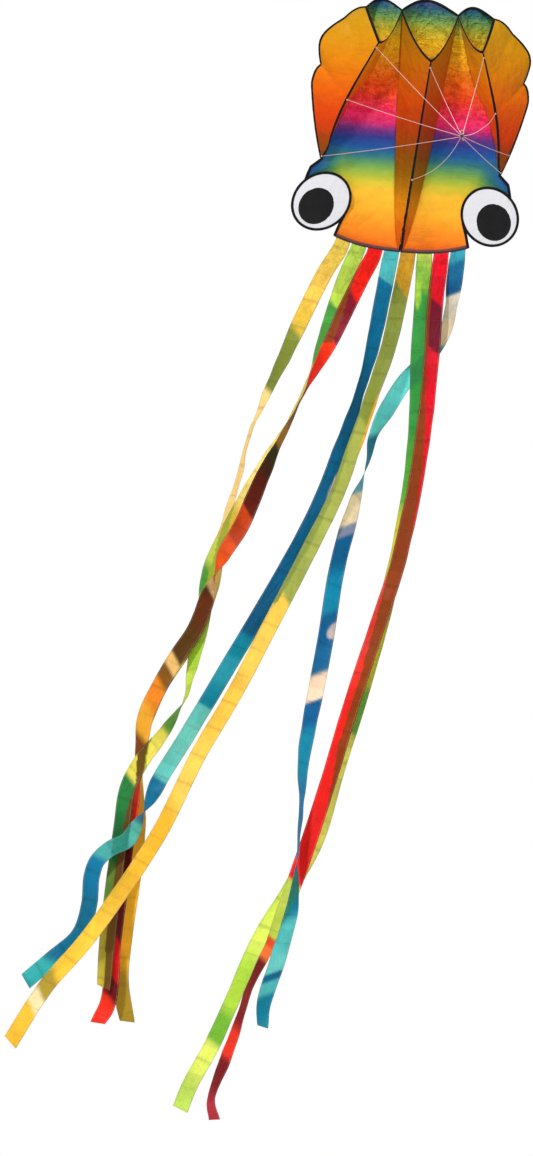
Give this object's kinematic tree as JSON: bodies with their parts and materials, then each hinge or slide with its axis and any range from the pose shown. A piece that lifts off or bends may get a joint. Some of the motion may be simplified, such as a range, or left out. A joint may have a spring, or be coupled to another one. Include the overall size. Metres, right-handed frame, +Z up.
{
  "type": "octopus kite",
  "caption": "Soft octopus-shaped kite: a rainbow head with three open keels and two round eyes, a cord bridle to one tow point, and long flat ribbon tails along the hem.",
  "frame": {"origin": "the tow point, the centre of the knot where the bridle legs meet", "axes": "+Z up along the head from the tails to the leading edge, +Y from the bridle side to the back of the head, +X across the head to the right as seen from the bridle side"},
  "size_m": [1.544, 1.3155, 3.9123],
  "materials": {
    "rainbow_sail": "semi-matt woven polyester, dyed in rainbow bands",
    "keel_panel": "semi-matt woven polyester, golden orange",
    "binding": "matt black tape",
    "hem": "matt dark folded cloth",
    "eye_white": "semi-matt white cloth",
    "cord": "matt braided cord",
    "knot": "matt dark whipping",
    "tail_yellow": "semi-matt woven ribbon",
    "tail_lime": "semi-matt woven ribbon",
    "tail_red": "semi-matt woven ribbon",
    "tail_blue": "semi-matt woven ribbon"
  },
  "bodies": {
    "root": {"centre_cell_back": "rainbow_sail", "left_wedge_gore": "rainbow_sail", "right_wedge_gore": "rainbow_sail", "left_cell_back": "rainbow_sail", "right_cell_back": "rainbow_sail", "centre_keel_left_panel": "keel_panel", "centre_keel_right_panel": "keel_panel", "left_keel_inner_panel": "keel_panel", "left_keel_outer_panel": "keel_panel", "right_keel_inner_panel": "keel_panel", "right_keel_outer_panel": "keel_panel", "centre_keel_ridge_tape": "binding", "left_keel_ridge_tape": "binding", "right_keel_ridge_tape": "binding", "centre_keel_mouth_binding": "binding", "left_keel_mouth_binding": "binding", "right_keel_mouth_binding": "binding", "left_edge_binding": "binding", "right_edge_binding": "binding", "leading_edge_binding": "binding", "trailing_hem": "hem", "left_eye_white": "eye_white", "right_eye_white": "eye_white", "left_eye_rim": "binding", "right_eye_rim": "binding", "left_eye_pupil": "binding", "right_eye_pupil": "binding", "tow_knot": "knot", "tow_loop": "cord", "bridle_left_top": "cord", "bridle_left_middle": "cord", "bridle_left_low": "cord", "bridle_centre_top": "cord", "bridle_centre_low": "cord", "bridle_right_top": "cord", "bridle_right_middle": "cord", "bridle_right_edge": "cord", "bridle_right_low": "cord"},
    "tail_1": {"tail_1_yellow": "tail_yellow"},
    "tail_2": {"tail_2_lime": "tail_lime"},
    "tail_3": {"tail_3_red": "tail_red"},
    "tail_4": {"tail_4_blue": "tail_blue"},
    "tail_5": {"tail_5_yellow": "tail_yellow"},
    "tail_6": {"tail_6_lime": "tail_lime"},
    "tail_7": {"tail_7_red": "tail_red"},
    "tail_8": {"tail_8_blue": "tail_blue"}
  },
  "joints": [
    {"name": "tail_1_swing", "type": "hinge", "parent": "root", "child": "tail_1", "pos_m": [-0.20125, 1.19717, -0.3445], "axis": [1, 0, 0], "range_deg": [-60, 60]},
    {"name": "tail_2_swing", "type": "hinge", "parent": "root", "child": "tail_2", "pos_m": [-0.14375, 1.19717, -0.3445], "axis": [1, 0, 0], "range_deg": [-60, 60]},
    {"name": "tail_3_swing", "type": "hinge", "parent": "root", "child": "tail_3", "pos_m": [-0.08625, 1.19717, -0.3445], "axis": [1, 0, 0], "range_deg": [-60, 60]},
    {"name": "tail_4_swing", "type": "hinge", "parent": "root", "child": "tail_4", "pos_m": [-0.02875, 1.20036, -0.35632], "axis": [1, 0, 0], "range_deg": [-60, 60]},
    {"name": "tail_5_swing", "type": "hinge", "parent": "root", "child": "tail_5", "pos_m": [0.02875, 1.20036, -0.35632], "axis": [1, 0, 0], "range_deg": [-60, 60]},
    {"name": "tail_6_swing", "type": "hinge", "parent": "root", "child": "tail_6", "pos_m": [0.08625, 1.19865, -0.35], "axis": [1, 0, 0], "range_deg": [-60, 60]},
    {"name": "tail_7_swing", "type": "hinge", "parent": "root", "child": "tail_7", "pos_m": [0.14375, 1.19865, -0.35], "axis": [1, 0, 0], "range_deg": [-60, 60]},
    {"name": "tail_8_swing", "type": "hinge", "parent": "root", "child": "tail_8", "pos_m": [0.20125, 1.19417, -0.33342], "axis": [1, 0, 0], "range_deg": [-60, 60]}
  ],
  "couplings": [
    {"joint": "tail_1_swing", "follows": "tail_3_swing", "ratio": 1},
    {"joint": "tail_2_swing", "follows": "tail_3_swing", "ratio": 1},
    {"joint": "tail_4_swing", "follows": "tail_3_swing", "ratio": 1},
    {"joint": "tail_5_swing", "follows": "tail_3_swing", "ratio": 1},
    {"joint": "tail_6_swing", "follows": "tail_7_swing", "ratio": 1},
    {"joint": "tail_8_swing", "follows": "tail_7_swing", "ratio": 1}
  ]
}
